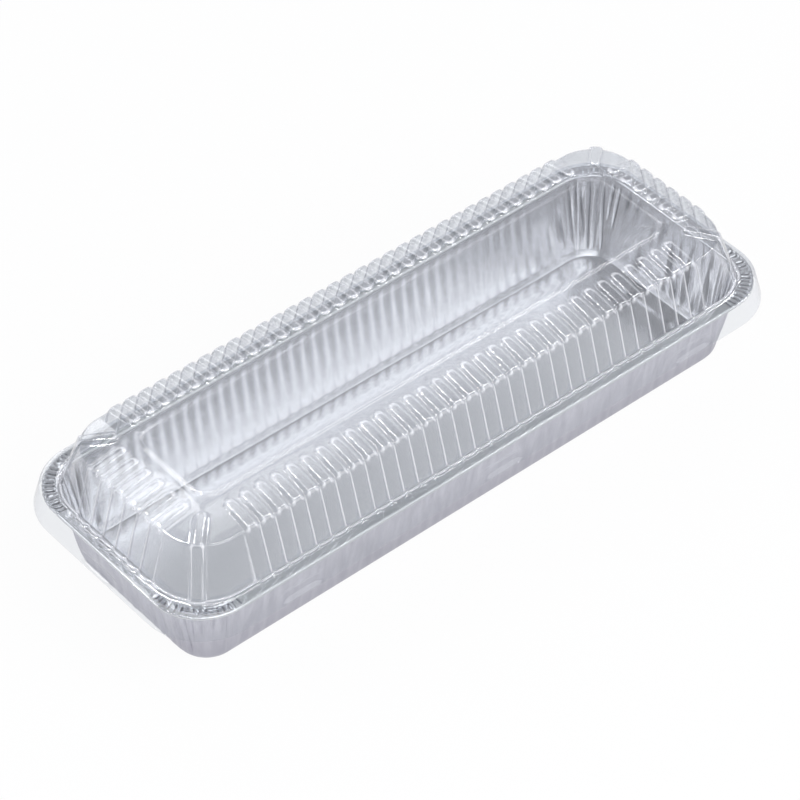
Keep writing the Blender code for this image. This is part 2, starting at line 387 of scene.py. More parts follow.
@dataclass(frozen=True)
class Outline:
    """A rounded rectangle round the middle, at one height."""

    half_length: float
    half_width: float
    corner: float
    height: float

    def grown(self, distance: float, height: float) -> "Outline":
        """Moves the outline outward everywhere by one distance.

        Args:
            distance: How far outward; below zero it moves inward.
            height: The new outline's height.

        Returns:
            The new outline.
        """
        return Outline(self.half_length + distance, self.half_width + distance,
                       max(self.corner + distance, LEAST_CORNER), height)

    def at(self, height: float) -> "Outline":
        """Moves the outline to another height."""
        return Outline(self.half_length, self.half_width, self.corner, height)

    def bent(self, out: float, up: float, angle: float) -> "Outline":
        """Goes round a bend whose centre is this outline.

        Args:
            out: The bend's radius if it turns outward; below zero it turns inward.
            up: The same radius if it starts above its centre; below zero it starts below.
            angle: How far round it is, from straight above or below the centre.

        Returns:
            The outline there.
        """
        return self.grown(out * math.sin(angle), self.height + up * math.cos(angle))

    def toward(self, other: "Outline", share: float) -> "Outline":
        """Blends this outline into another.

        Args:
            other: The outline to blend into.
            share: How much of it, from 0 to 1.

        Returns:
            The blend.
        """
        mine = np.array([self.half_length, self.half_width, self.corner, self.height])
        theirs = np.array([other.half_length, other.half_width, other.corner, other.height])
        return Outline(*(mine + share * (theirs - mine)))


class ColumnLoop:
    """The columns of points once round a sheet, against the clock from the front side.

    A column keeps its place on every ring: its distance from the middle along a side, or its
    share of the way round a corner, which is one half on the corner's diagonal.
    """

    def __init__(self, long_side: np.ndarray, short_side: np.ndarray, corner: np.ndarray,
                 straight_x: float, straight_y: float) -> None:
        """Lays the columns out.

        Args:
            long_side: Places along the whole front side, from -X to +X.
            short_side: Places along the whole right side, from -Y to +Y.
            corner: Shares round a corner, from the long side to the short one.
            straight_x: Half the length of the sides' straight part along X.
            straight_y: Half the length of the sides' straight part along Y.
        """
        self.straight_x = straight_x
        self.straight_y = straight_y
        stretches = []
        for sign_x, sign_y in ((1, -1), (1, 1), (-1, 1), (-1, -1)):
            from_long = sign_x * sign_y < 0
            shares = corner if from_long else corner[::-1]
            side = long_side if from_long else short_side
            along = side if (sign_y < 0 if from_long else sign_x > 0) else side[::-1]
            kind = Side.LONG if from_long else Side.SHORT
            sideways = np.sign(along) + (along == 0)
            if kind is Side.LONG:
                stretches.append((kind, np.abs(along), sideways, np.full(len(along), sign_y)))
            else:
                stretches.append((kind, np.abs(along), np.full(len(along), sign_x), sideways))
            stretches.append((Side.CORNER, shares, np.full(len(shares), sign_x),
                              np.full(len(shares), sign_y)))
        self.kind = np.concatenate([np.full(len(s[1]), s[0].value) for s in stretches])
        self.place = np.concatenate([s[1] for s in stretches]).astype(float)
        self.sign_x = np.concatenate([s[2] for s in stretches]).astype(float)
        self.sign_y = np.concatenate([s[3] for s in stretches]).astype(float)

    def on(self, side: Side) -> np.ndarray:
        """Says which columns are on a kind of stretch."""
        return self.kind == side.value

    def corners(self, seed: int) -> Iterator[tuple[np.ndarray, np.random.Generator]]:
        """Goes through the four corners.

        Args:
            seed: The first corner's seed.

        Yields:
            Which columns are on the corner, and its random draws, the same in each run.
        """
        numbers = (self.sign_x > 0) * 2 + (self.sign_y > 0)
        for corner in range(4):
            yield self.on(Side.CORNER) & (numbers == corner), np.random.default_rng(seed + corner)

    def lay(self, outline: Outline) -> tuple[np.ndarray, np.ndarray]:
        """Puts the columns on an outline.

        Args:
            outline: The rounded rectangle that they follow.

        Returns:
            Their points in the plane, and the directions that are outward there.
        """
        flat_x = max(0.0, outline.half_length - outline.corner - self.straight_x)
        flat_y = max(0.0, outline.half_width - outline.corner - self.straight_y)
        arc = outline.corner * math.pi / 2
        run = (2 * np.minimum(self.place, 0.5) * (flat_x + arc / 2)
               + 2 * np.maximum(self.place - 0.5, 0.0) * (arc / 2 + flat_y))
        angle = np.clip((run - flat_x) / outline.corner, 0.0, math.pi / 2)
        normal = np.column_stack([np.sin(angle), np.cos(angle)])
        before = np.maximum(flat_x - run, 0.0)
        after = np.maximum(run - flat_x - arc, 0.0)
        x = outline.half_length - outline.corner - before + outline.corner * normal[:, 0]
        y = outline.half_width - outline.corner - after + outline.corner * normal[:, 1]
        long_side = self.on(Side.LONG)
        short_side = self.on(Side.SHORT)
        fit_x = min(1.0, (outline.half_length - outline.corner) / self.straight_x)
        fit_y = min(1.0, (outline.half_width - outline.corner) / self.straight_y)
        x = np.where(long_side, self.place * fit_x, np.where(short_side, outline.half_length, x))
        y = np.where(long_side, outline.half_width, np.where(short_side, self.place * fit_y, y))
        normal[long_side] = (0.0, 1.0)
        normal[short_side] = (1.0, 0.0)
        signs = np.column_stack([self.sign_x, self.sign_y])
        return np.column_stack([x, y]) * signs, normal * signs


class FormedSheet:
    """A thin sheet that is lofted from rings of points and given its thickness."""

    def __init__(self, name: str, loop: ColumnLoop, kept: np.ndarray) -> None:
        """Starts a sheet with no rings.

        Args:
            name: The piece's name.
            loop: The columns of points round it.
            kept: Numbers of the columns that its plain parts keep.
        """
        self.name = name
        self.loop = loop
        self.kept = kept
        self.rows: list[np.ndarray] = []

    def ring(self, outline: Outline, out: np.ndarray | float = 0.0,
             up: np.ndarray | float = 0.0) -> np.ndarray:
        """Makes a ring of points on an outline.

        Args:
            outline: The rounded rectangle that it follows.
            out: Relief outward, for all columns or one each.
            up: Relief upward, for all columns or one each.

        Returns:
            The ring's points, one row for each column.
        """
        flat, outward = self.loop.lay(outline)
        count = len(flat)
        moved = flat + outward * np.broadcast_to(out, count)[:, None]
        return np.column_stack([moved, outline.height + np.broadcast_to(up, count)])

    def plain(self, outline: Outline, out: np.ndarray | float = 0.0) -> np.ndarray:
        """Makes a ring that has only the columns that plain parts keep."""
        return self.ring(outline, out)[self.kept]

    def add(self, outline: Outline, out: np.ndarray | float = 0.0,
            up: np.ndarray | float = 0.0) -> None:
        """Adds the ring that ring makes of the same values."""
        self.rows.append(self.ring(outline, out, up))

    def add_plain(self, outline: Outline, out: np.ndarray | float = 0.0) -> None:
        """Adds the ring that plain makes of the same values."""
        self.rows.append(self.plain(outline, out))

    def join(self, row: int, start: int) -> list[tuple[int, ...]]:
        """Joins a ring to the next one.

        Args:
            row: The ring's number.
            start: The number of its first point.

        Returns:
            The faces between the two rings.
        """
        near = len(self.rows[row])
        far = len(self.rows[row + 1])
        after = start + near
        faces = []
        if near == far:
            for this in range(near):
                following = (this + 1) % near
                faces.append((start + this, after + this, after + following, start + following))
            return faces
        columns = max(near, far)
        for this, column in enumerate(self.kept):
            following = (this + 1) % len(self.kept)
            steps = (self.kept[following] - column) % columns
            fine = [int(column + step) % columns for step in range(steps + 1)]
            if far == columns:
                faces.append((start + this, *(after + number for number in fine),
                              start + following))
            else:
                faces.append((after + this, after + following,
                              *(start + number for number in reversed(fine))))
        return faces

    def fill_middle(self, edge: np.ndarray, reach: float, steps: int) -> list[np.ndarray]:
        """Makes rings that draw in from a middle panel's edge to a line along its middle.

        Args:
            edge: The ring at the panel's edge.
            reach: How far along X the middle line reaches each way.
            steps: How many rings to make, the edge left out.

        Returns:
            The rings, from the middle line outward.
        """
        spine = edge.copy()
        spine[:, 0] = np.clip(edge[:, 0], -reach, reach)
        spine[:, 1] = 0.0
        return [spine + (edge - spine) * (number / steps) for number in range(steps)]

    def build(self, thickness: float, *materials: bpy.types.Material) -> bpy.types.Object:
        """Lofts the rings into a closed thin sheet.

        Args:
            thickness: The sheet's gauge, which grows to the side that the rings face.
            materials: Its finish, or the finishes of its inner and its outer side.

        Returns:
            The piece.
        """
        points = np.concatenate(self.rows)
        faces = []
        start = 0
        for row in range(len(self.rows) - 1):
            faces += self.join(row, start)
            start += len(self.rows[row])
        data = bpy.data.meshes.new(self.name)
        data.from_pydata(points.tolist(), [], faces)
        mesh = bmesh.new()
        mesh.from_mesh(data)
        mesh.verts.ensure_lookup_table()
        middle = mesh.verts[:len(self.rows[0])]
        bmesh.ops.remove_doubles(mesh, verts=middle, dist=SAME_POINT)
        bmesh.ops.dissolve_degenerate(mesh, dist=NO_LENGTH, edges=mesh.edges[:])
        mesh.to_mesh(data)
        mesh.free()
        data.shade_smooth()
        for material in materials:
            data.materials.append(material)
        piece = bpy.data.objects.new(self.name, data)
        bpy.context.scene.collection.objects.link(piece)
        solidify = piece.modifiers.new("sheet thickness", "SOLIDIFY")
        solidify.thickness = thickness
        solidify.offset = 1.0
        solidify.material_offset = len(materials) - 1
        return piece


def side_places(count: int, straight: float, phases: np.ndarray) -> np.ndarray:
    """Places of columns along a side that holds a row of like waves.

    Args:
        count: Waves on the whole side.
        straight: Half the side's length.
        phases: Places of the columns over one wave, from 0 to 1.

    Returns:
        The places from one end to the other, without the ends.
    """
    spacing = 2 * straight / count
    starts = np.arange(count) * spacing - straight
    return (starts[:, None] + phases[None, :] * spacing).ravel()[1:]


@dataclass
class FoilTray:
    """The pressed foil tray: floor, fluted walls, pleated corners, flange and rolled edge."""

    rim_half_length: float
    rim_half_width: float
    depth: float
    foil: float = 0.1 * MM
    rim_corner: float = 24.0 * MM
    flange: float = 7.0 * MM
    flange_rings: int = 10
    wall_top_corner: float = 17.5 * MM
    wall_lean: float = 6.2 * MM
    floor_corner: float = 14.0 * MM
    kick_height: float = 2.6 * MM
    kick_slope: float = 58.0
    kick_rounds: tuple[float, float] = (0.6 * MM, 1.6 * MM)
    foot_band: float = 5.9 * MM
    panel_slope: float = 4.0 * MM
    panel_rise: float = 0.7 * MM
    panel_rings: int = 8
    panel_slope_rings: int = 7
    panel_dent: float = 0.16 * MM
    dent_size: float = 38.0 * MM
    dent_narrowing: float = 1.6
    flute_pitch: float = 6.1 * MM
    flute_columns: int = 6
    flute_depth: float = 0.42 * MM
    flute_start: float = 1.4 * MM
    flute_full: float = 4.6 * MM
    flute_stop: float = 3.0 * MM
    corner_columns: int = 70
    kick_rings: tuple[int, int] = (5, 4)
    low_rings: tuple[float, ...] = (3.6 * MM, 4.6 * MM, 6.4 * MM)
    wall_rings_from: float = 9.0 * MM
    wall_rings: int = 9
    wall_round: float = 1.2 * MM
    wall_round_rings: int = 5
    bead: float = 2.2 * MM
    bead_turn: float = 250.0
    bead_ripple: float = 0.35
    bead_rings: int = 10
    crimp_depth: float = 1.4 * MM
    crimp_eases: tuple[float, float] = (0.15, 0.12)
    crimp_seed: int = 70
    crimps_round_corner: int = 16
    fine_crimp: float = 3.2 * MM
    fine_crimp_depth: float = 0.35 * MM
    pleats_round_corner: int = 19
    pleat_depth: float = 2.0 * MM
    pleat_rise: float = 0.5
    pleat_ease: float = 0.08
    pleat_seed: int = 40
    crease: float = 6.0 * MM
    crease_depth: float = 2.4 * MM
    crease_level: float = 0.15
    crease_rise: float = 0.2
    crease_reach: float = 24.0 * MM

    def __post_init__(self) -> None:
        """Works out the two sharp corners of the wall, and the columns, some to each flute."""
        inset = self.flange + self.wall_lean
        self.floor = Outline(self.rim_half_length - inset, self.rim_half_width - inset,
                             self.floor_corner, 0.0)
        self.top = Outline(self.rim_half_length - self.flange, self.rim_half_width - self.flange,
                           self.wall_top_corner, self.depth - self.foil)
        straight_x = self.floor.half_length - self.floor.corner
        straight_y = self.floor.half_width - self.floor.corner
        phases = np.arange(self.flute_columns) / self.flute_columns
        self.loop = ColumnLoop(side_places(self.flutes(straight_x), straight_x, phases),
                               side_places(self.flutes(straight_y), straight_y, phases),
                               np.linspace(0.0, 1.0, self.corner_columns),
                               straight_x, straight_y)
        kept = np.arange(0, len(self.loop.place), 2)
        self.form = FormedSheet("pressed_foil_tray", self.loop, kept)

    def flutes(self, straight: float) -> int:
        """Counts the flutes that fit on a side with half its length."""
        return 2 * round(straight / self.flute_pitch)

    def wave(self) -> np.ndarray:
        """Works out how far each column lies into a flute.

        Returns:
            The flutes' relief from 0 to 1, which is 0 round the corners.
        """
        loop = self.loop
        relief = np.zeros(len(loop.place))
        for side, straight in ((Side.LONG, loop.straight_x), (Side.SHORT, loop.straight_y)):
            spacing = 2 * straight / self.flutes(straight)
            chosen = loop.on(side)
            phase = (straight - loop.place[chosen]) / spacing
            relief[chosen] = 0.5 - 0.5 * np.cos(2 * math.pi * phase)
        return relief

    def pleats(self, share_up: float) -> np.ndarray:
        """Works out the corners' upright folds, which differ from corner to corner.

        Args:
            share_up: How far up the wall, from 0 to 1.

        Returns:
            The relief outward in metres.
        """
        loop = self.loop
        straight = np.where(loop.on(Side.LONG), loop.straight_x - self.crease_reach, 0.0)
        near_end = smooth((loop.place - straight) / self.crease_reach)
        strength = np.where(loop.on(Side.LONG), near_end, loop.on(Side.SHORT))
        folded = np.abs(self.uneven(self.crease, share_up)) - self.crease_level
        relief = folded * strength * self.crease_depth * smooth(share_up / self.crease_rise)
        for chosen, draw in loop.corners(self.pleat_seed):
            place = loop.place[chosen]
            total = np.zeros(len(place))
            # Each fold has its own place, width, slant, start up the wall and height.
            for fold in range(self.pleats_round_corner):
                middle = (fold + 0.5 + draw.uniform(-0.3, 0.3)) / self.pleats_round_corner
                width = draw.uniform(0.45, 0.9) / self.pleats_round_corner
                slant = draw.uniform(-0.12, 0.12)
                start = draw.uniform(-0.2, 0.45)
                height = draw.uniform(0.35, 1.0) * (-1 if fold % 2 else 1)
                apart = np.abs(place - middle - slant * (share_up - 0.5)) / width
                risen = smooth((share_up - start) / self.pleat_rise)
                total += height * np.clip(1 - apart, 0, 1) * risen
            edge = smooth(place / self.pleat_ease) * smooth((1 - place) / self.pleat_ease)
            relief[chosen] = total * edge * self.pleat_depth / 2
        return relief

    def uneven(self, size: float, across: float) -> np.ndarray:
        """Gives each column a smooth random height.

        Args:
            size: Rough distance along the loop from one hump to the next.
            across: Place across the loop, where 1 changes the pattern about once.

        Returns:
            The heights, from about -0.5 to 0.5.
        """
        loop = self.loop
        arc = self.rim_corner * math.pi / 2
        run = loop.place * np.where(loop.on(Side.CORNER), arc, 1.0)
        # The unlike weights give every stretch of the loop a pattern of its own.
        part = 3 * loop.sign_x + 7 * loop.sign_y + 31 * loop.kind
        return np.array([noise.noise(Vector((along / size + across, 1.3 * across, shift)))
                         for along, shift in zip(run, part)])

    def crimps(self, share_out: float) -> np.ndarray:
        """Works out the flange's creases: deep and radial at corners, fine all round.

        Args:
            share_out: How far out on the flange, from 0 to 1.

        Returns:
            The relief upward in metres, which is zero or below.
        """
        loop = self.loop
        relief = np.zeros(len(loop.place))
        for chosen, draw in loop.corners(self.crimp_seed):
            knots = np.linspace(0, 1, 2 * self.crimps_round_corner + 1)
            # Each crease has its own place and lean. Every other one is deep.
            moved = draw.uniform(-0.3, 0.3, len(knots)) * knots[1]
            lean = draw.uniform(-0.9, 0.9, len(knots)) * knots[1]
            level = np.where(np.arange(len(knots)) % 2, draw.uniform(0.4, 1.0, len(knots)),
                             draw.uniform(0.0, 0.25, len(knots)))
            level[[0, -1]] = 0.0
            folds = np.sort(knots + moved + lean * (share_out - 0.5))
            relief[chosen] = -self.crimp_depth * np.interp(loop.place[chosen], folds, level)
        fine = 0.5 + self.uneven(self.fine_crimp, share_out)
        return relief - self.fine_crimp_depth * fine

    def dress(self, bright: PressedFoil, matt: MattFoilSide) -> bpy.types.Object:
        """Builds the tray, puts it in the frame and gives its sides their finishes.

        Args:
            bright: The finish of the inner side.
            matt: The finish of the outer side.

        Returns:
            The piece.
        """
        self.add_floor()
        self.add_wall()
        self.add_rim()
        piece = self.form.build(self.foil, bright.material(), matt.material())
        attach(piece, "tray")
        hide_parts("foil_tray")
        return piece

    def add_floor(self) -> None:
        """Adds the rings of the floor's raised panel and of the foot band round it."""
        foot_inside = self.floor.grown(-self.kick_foot() - self.foot_band, 0.0)
        panel = foot_inside.grown(-self.panel_slope, self.panel_rise)
        reach = panel.half_length - panel.half_width
        self.form.rows += self.form.fill_middle(self.form.plain(panel), reach, self.panel_rings)
        for row in self.form.rows:
            row[:, 2] += [self.dent(x, y) for x, y in row[:, :2]]
        for share in np.linspace(0.0, 1.0, self.panel_slope_rings):
            height = self.panel_rise * (1 - smooth(share))
            self.form.add_plain(panel.toward(foot_inside, float(share)).at(float(height)))
        self.form.add_plain(foot_inside.grown(self.foot_band / 2, 0.0))

    def kick_foot(self) -> float:
        """Works out where the flatter kick under the wall begins.

        Returns:
            How far inside the floor's outline the rounding at the kick's foot begins.
        """
        lean = self.wall_lean / (self.depth - self.foil)
        slope = math.radians(self.kick_slope)
        plain = self.kick_height / math.tan(slope) - self.kick_height * lean
        return plain + self.kick_rounds[0] * math.tan(slope / 2)

    def dent(self, x: float, y: float) -> float:
        """Gives the height of the floor panel's slight unevenness at a point, never below zero."""
        wide = noise.noise(Vector((x, self.dent_narrowing * y, 0.0)) / self.dent_size)
        return self.panel_dent * (0.5 + 0.5 * wide)

    def add_wall(self) -> None:
        """Adds the rings of the rounding at the wall's foot, the wall and its upper rounding."""
        floor = self.floor
        top = self.top
        lean = math.atan2(self.wall_lean, top.height)
        steepest = math.pi / 2 - lean
        slope = math.radians(self.kick_slope)
        wave = self.wave()
        flutes = self.flute_full - self.flute_start
        low_round, high_round = self.kick_rounds
        first = self.kick_foot()
        profile = [(low_round * math.sin(angle) - first, low_round * (1 - math.cos(angle)))
                   for angle in np.linspace(0.0, slope, self.kick_rings[0])]
        reach = high_round * math.tan((steepest - slope) / 2)
        bend = (self.kick_height * math.tan(lean), self.kick_height)
        begun = (bend[0] - reach * math.cos(slope), bend[1] - reach * math.sin(slope))
        profile.append(((profile[-1][0] + begun[0]) / 2, (profile[-1][1] + begun[1]) / 2))
        profile += [(begun[0] + high_round * (math.sin(angle) - math.sin(slope)),
                     begun[1] + high_round * (math.cos(slope) - math.cos(angle)))
                    for angle in np.linspace(slope, steepest, self.kick_rings[1])]
        for out, height in profile:
            relief = smooth((height - self.flute_start) / flutes) * self.flute_depth
            self.form.add(floor.grown(out, height), wave * relief)
        top_tangent = self.wall_round * math.tan(steepest / 2)
        high = top.height - top_tangent * math.cos(lean)
        even = np.linspace(self.wall_rings_from, high, self.wall_rings)
        for height in np.concatenate([self.low_rings, even]):
            start = smooth((height - self.flute_start) / flutes)
            stop = smooth((high - height) / self.flute_stop)
            share = float(height / top.height)
            fold = self.pleats(share) * start * stop
            self.form.add(floor.toward(top, share), wave * self.flute_depth * start * stop + fold)
        centre = top.grown(top_tangent, top.height - self.wall_round)
        for angle in np.linspace(steepest, 0.0, self.wall_round_rings)[1:]:
            self.form.add(centre.bent(-self.wall_round, self.wall_round, angle))

    def add_rim(self) -> None:
        """Adds the rings of the creased flange and of the rolled edge."""
        radius = self.bead / 2
        first = self.wall_round
        last = self.flange - radius
        inner_ease, outer_ease = self.crimp_eases
        for share in np.linspace(0.0, 1.0, self.flange_rings + 2)[1:-1]:
            outline = self.top.grown(first + float(share) * (last - first), self.top.height)
            strength = smooth(share / inner_ease) * smooth((1 - share) / outer_ease)
            self.form.add(outline, up=self.crimps(float(share)) * strength)
        rim = Outline(self.rim_half_length, self.rim_half_width, self.rim_corner, self.depth)
        core = radius - self.foil
        ripple = self.crimps(1.0) * self.bead_ripple
        for angle in np.radians(np.linspace(0.0, self.bead_turn, self.bead_rings)):
            height = self.depth - radius + core * math.cos(angle)
            ring = rim.grown(core * math.sin(angle) - radius, height)
            self.form.add(ring, ripple * max(math.sin(angle), 0.0),
                          ripple * max(math.cos(angle), 0.0))


@dataclass
class ClearLid:
    """The thermoformed dome lid: panel, ribbed shoulder and wall, flange, skirt, snap dents."""

    rim_half_length: float
    rim_half_width: float
    seat: float
    skirt_half_length: float
    sheet: float = 0.3 * MM
    side_gap: float = 0.4 * MM
    rim_corner: float = 24.0 * MM
    flange: float = 7.2 * MM
    flange_rings: int = 3
    rise: float = 25.6 * MM
    panel_corner: float = 7.5 * MM
    panel_rings: int = 3
    flat_margin: float = 0.3 * MM
    step_width: float = 1.9 * MM
    step_drop: float = 0.8 * MM
    step_bends: tuple[float, float] = (0.0, 0.5)
    step_bend: float = 0.28
    shoulder: float = 19.4 * MM
    shoulder_drop: float = 2.8 * MM
    shoulder_curve: float = 1.6
    shoulder_corner: float = 19.5 * MM
    shoulder_least_corner: float = 0.5 * MM
    shoulder_rings: int = 4
    edge_round: float = 0.6 * MM
    edge_tightness: float = 0.9
    edge_rings: int = 6
    dome_lean: float = 6.5 * MM
    dome_corner: float = 22.5 * MM
    wall_shares: tuple[float, ...] = (0.06, 0.5, 0.95, 1.0)
    foot_round: float = 0.5 * MM
    foot_rings: int = 5
    foot_bead: float = 1.4 * MM
    foot_bead_height: float = 0.7 * MM
    foot_bead_shares: tuple[float, ...] = (0.3, 0.7, 1.0)
    foot_bead_margin: float = 1.2 * MM
    rib_pitch: float = 7.5 * MM
    rib_height: float = 1.2 * MM
    rib_width: float = 6.4 * MM
    rib_half_phases: tuple[float, ...] = (0.0, 0.065, 0.095, 0.135, 0.2, 0.265, 0.31, 0.35)
    rib_end_shares: tuple[float, ...] = (0.0, 0.12, 0.25, 0.38, 0.52, 0.7, 1.0)
    shoulder_flank: float = 1.8 * MM
    wall_flank: float = 2.4 * MM
    corner_wall_flank: float = 0.8 * MM
    flank_bend: float = 0.3
    wall_rib_height: float = 1.1 * MM
    rib_inset: float = 3.7 * MM
    rib_margin: float = 4.3 * MM
    corner_rib_width: float = 6.2 * MM
    corner_columns: tuple[tuple[float, float, int], ...] = ((0.0, 0.36, 9), (0.395, 0.605, 17),
                                                            (0.64, 1.0, 9))
    plain_shares: tuple[float, ...] = (0.0, 0.25, 0.5)
    fold_round: float = 0.6 * MM
    fold_rings: int = 6
    skirt_depth: float = 10.0 * MM
    skirt_first_ring: float = 2.0 * MM
    dent_length: float = 22.0 * MM
    dent_top: float = 4.8 * MM
    dent_height: float = 4.6 * MM
    dent_depth: float = 1.3 * MM
    dent_from_corner: float = 17.5 * MM
    dent_ease: float = 2.5 * MM
    dent_rings: tuple[float, float, int] = (4.2 * MM, 9.8 * MM, 9)
    dent_overlap: float = 0.12
    dent_fade: float = 0.35

    def __post_init__(self) -> None:
        """Works out the outlines that the lid turns at, and its columns."""
        gap = self.side_gap
        self.fold = Outline(self.rim_half_length + gap, self.rim_half_width + gap,
                            self.rim_corner + gap, self.seat)
        self.foot = self.inside(self.flange, self.dome_corner, self.seat)
        self.top = self.seat + self.rise
        edge_height = self.top - self.step_drop - self.shoulder_drop
        inset = self.flange + self.dome_lean
        self.edge = self.inside(inset, self.shoulder_corner, edge_height)
        inset += self.shoulder + self.step_width
        self.panel = self.inside(inset, self.panel_corner, self.top)
        straight_x = self.edge.half_length - self.edge.corner - self.rib_margin
        straight_y = self.edge.half_width - self.edge.corner
        long_ribs = 2 * round(straight_x / self.rib_pitch)
        short_ribs = 2 * round(straight_y / self.rib_pitch)
        half = np.array(self.rib_half_phases)
        phases = np.concatenate([half, [0.5], 1 - half[:0:-1]])
        shares = np.concatenate([np.linspace(*stretch) for stretch in self.corner_columns])
        self.loop = ColumnLoop(side_places(long_ribs, straight_x, phases),
                               side_places(short_ribs, straight_y, phases),
                               shares, straight_x, straight_y)
        self.rib_spacing = np.where(self.loop.on(Side.LONG), 2 * straight_x / long_ribs,
                                    2 * straight_y / short_ribs)
        apart = self.across(self.edge)
        kept = self.loop.on(Side.CORNER)
        same = 0.01 * self.rib_pitch
        for share in self.plain_shares:
            kept = kept | (np.abs(apart - share * self.rib_spacing) < same)
        self.form = FormedSheet("clear_dome_lid", self.loop, np.flatnonzero(kept))

    def inside(self, inset: float, corner: float, height: float) -> Outline:
        """Makes an outline a distance inside the fold."""
        return Outline(self.fold.half_length - inset, self.fold.half_width - inset, corner,
                       height)

    def across(self, outline: Outline) -> np.ndarray:
        """Measures how far each column is from the middle line of its rib.

        Args:
            outline: The ring's outline.

        Returns:
            The distances in metres.
        """
        loop = self.loop
        straight = np.where(loop.on(Side.LONG), loop.straight_x, loop.straight_y)
        phase = (straight - loop.place) / self.rib_spacing % 1.0
        apart = np.abs(phase - 0.5) * self.rib_spacing
        flat = np.abs(loop.lay(outline)[0])
        diagonal = outline.corner * (1 - math.sqrt(0.5))
        tip = np.array([outline.half_length - diagonal, outline.half_width - diagonal])
        offset = flat - tip
        wider = (self.corner_rib_width - self.rib_width) / 2
        turned = np.abs(offset[:, 0] - offset[:, 1]) * math.sqrt(0.5) - wider
        return np.where(loop.on(Side.CORNER), turned, apart)

    def relief(self, outline: Outline, beyond: float, over: float = 0.0) -> np.ndarray:
        """Works out the ribs' relief on one ring.

        On the shoulder a rib has a flat top between straight flanks. Toward the wall it widens
        and is crowned, until only a sharp groove parts it from the next one. The corner ribs
        keep their width there and get steeper flanks.

        Args:
            outline: The ring's outline.
            beyond: How far out the ring is from where the ribs' rounded ends begin.
            over: How far over the shoulder's edge it is, from 0 to 1 where the wall begins.

        Returns:
            The relief in metres.
        """
        radius = self.rib_width / 2
        short_of = max(radius - beyond, 0.0)
        away = np.hypot(self.across(outline), short_of)
        round_corner = self.loop.on(Side.CORNER)
        wall_flank = np.where(round_corner, self.corner_wall_flank, self.wall_flank)
        flank = self.shoulder_flank + over * (wall_flank - self.shoulder_flank)
        height = self.rib_height + over * (self.wall_rib_height - self.rib_height)
        wider = np.where(round_corner, 0.0, self.rib_spacing / 2 - radius)
        rise = (radius + over * wider - away) / flank
        crowned = np.where(round_corner, 0.0, over)
        rounded = np.sin(np.clip(rise, 0.0, 1.0) * math.pi / 2)
        return (ramp(rise, self.flank_bend) * (1 - crowned) + rounded * crowned) * height

    def on_shoulder(self, distance: float) -> Outline:
        """Gives the plain shoulder's outline.

        Args:
            distance: How far out from the step's foot.

        Returns:
            The outline there.
        """
        share = distance / self.shoulder
        height = self.top - self.step_drop - self.shoulder_drop * share ** self.shoulder_curve
        half_length = self.edge.half_length - self.shoulder + distance
        half_width = self.edge.half_width - self.shoulder + distance
        widest = min(half_width - self.loop.straight_y, half_length - self.loop.straight_x)
        corner = max(min(self.edge.corner - self.shoulder + distance, widest),
                     self.shoulder_least_corner)
        if distance < self.rib_inset:
            inner = self.panel.corner + self.step_width
            outer = self.on_shoulder(self.rib_inset).corner
            corner = inner + (outer - inner) * distance / self.rib_inset
        return Outline(half_length, half_width, corner, height)

    def dress(self, finish: FormedClearSheet) -> bpy.types.Object:
        """Builds the lid, puts it in the frame and gives it its finish.

        Args:
            finish: The clear sheet's finish.

        Returns:
            The piece.
        """
        self.add_panel()
        self.add_shoulder()
        self.add_wall()
        self.add_skirt()
        piece = self.form.build(self.sheet, finish.material())
        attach(piece, "lid")
        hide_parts("clear_lid")
        return piece

    def add_panel(self) -> None:
        """Adds the rings of the flat top panel and of the step round it, which bends twice."""
        reach = self.panel.half_length - self.panel.half_width
        flat = self.form.plain(self.panel.grown(-self.flat_margin, self.top))
        self.form.rows += [*self.form.fill_middle(flat, reach, self.panel_rings), flat]
        foot = self.panel.grown(self.step_width, self.top - self.step_drop)
        first, second = self.step_bends
        for bend in self.step_bends:
            for quarter in range(5):
                share = bend + self.step_bend * quarter / 4
                fallen = (0.5 * smooth((share - first) / self.step_bend)
                          + 0.5 * smooth((share - second) / self.step_bend))
                height = self.top - self.step_drop * float(fallen)
                self.form.add_plain(self.panel.toward(foot, share).at(height))

    def add_shoulder(self) -> None:
        """Adds the rings of the shoulder, where the ribs begin with rounded ends."""
        radius = self.rib_width / 2
        ends = self.rib_inset + radius * np.array(self.rib_end_shares)
        last = self.shoulder - self.edge_round
        body = np.linspace(ends[-1], last - self.flat_margin, self.shoulder_rings + 1)
        for distance in (0.0, self.rib_inset / 2):
            self.form.add_plain(self.on_shoulder(distance))
        for distance in np.concatenate([ends, body[1:], [last]]):
            part = self.on_shoulder(float(distance))
            up = self.relief(part, float(distance) - self.rib_inset)
            self.form.add(part, up=np.minimum(up, self.top - part.height))

